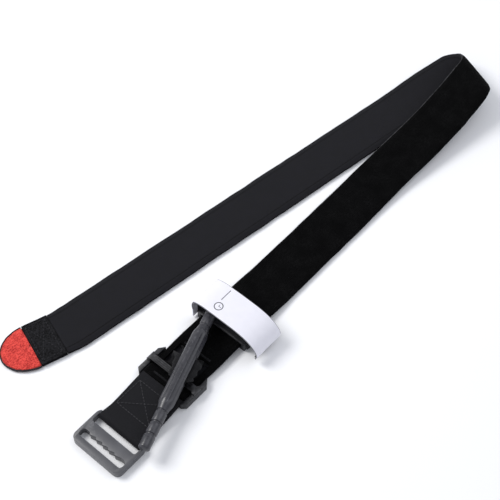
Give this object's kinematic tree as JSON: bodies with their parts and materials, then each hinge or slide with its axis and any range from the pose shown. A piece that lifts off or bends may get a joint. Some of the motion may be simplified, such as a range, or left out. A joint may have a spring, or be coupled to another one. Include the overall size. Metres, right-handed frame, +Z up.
{
  "type": "windlass tourniquet",
  "caption": "Flat sleeve strap laid out in a V, with a tilting two-slot buckle, a keeper, a fluted windlass rod locked in a two-hook clip, and a white time strap hinged over the clip.",
  "frame": {"origin": "middle of the keeper's underside, on the surface that the part lies on", "axes": "+Z up, +X along the main leg from the buckle to the turn of the strap, +Y towards the returning leg"},
  "size_m": [0.4424, 0.1432, 0.0232],
  "materials": {
    "grey_plastic": "satin moulded",
    "black_plastic": "satin moulded",
    "smooth_nylon": "smooth weave",
    "loop_pile": "short loop pile",
    "webbing": "woven ribs",
    "hook_tape": "rows of small hooks",
    "white_strap": "smooth, for writing on",
    "red_felt": "short felt",
    "black_thread": "matt thread"
  },
  "bodies": {
    "strap": {"sleeve_face": "loop_pile", "sleeve_lining": "smooth_nylon", "seam_tape_left": "webbing", "seam_tape_right": "webbing", "inner_band_front": "webbing", "inner_band_rear": "webbing", "buckle_turnback": "smooth_nylon", "turnback_stitching": "black_thread", "keeper_frame": "black_plastic", "stabiliser_plate": "black_plastic", "windlass_loop": "webbing", "slot_tack_front": "black_thread", "slot_tack_rear": "black_thread", "windlass_clip": "black_plastic", "clip_pad_left": "hook_tape", "clip_pad_right": "hook_tape", "time_strap_anchor": "white_strap", "anchor_tack": "black_thread", "tip_patch_under": "hook_tape", "tip_patch_top": "hook_tape", "tip_tab": "red_felt", "tip_binding": "black_thread", "tip_stitching": "black_thread"},
    "buckle": {"buckle_frame": "grey_plastic"},
    "windlass": {"windlass_rod": "grey_plastic"},
    "time_flap": {"time_strap_face": "white_strap", "time_strap_backing": "hook_tape"}
  },
  "joints": [
    {"name": "buckle_tilt", "type": "hinge", "parent": "strap", "child": "buckle", "pos_m": [-0.0518, -0.0023, 0.0036], "axis": [0, 1, 0], "range_deg": [-80, 0]},
    {"name": "windlass_turn", "type": "hinge", "parent": "strap", "child": "windlass", "pos_m": [0.0045, -0.0052, 0.0134], "axis": [0, 0, 1], "range_deg": [-28, 0], "deforming": ["windlass_loop"]},
    {"name": "time_strap_open", "type": "hinge", "parent": "strap", "child": "time_flap", "pos_m": [0.057, 0.02435, 0.00905], "axis": [-1, 0, 0], "range_deg": [0, 135]}
  ]
}
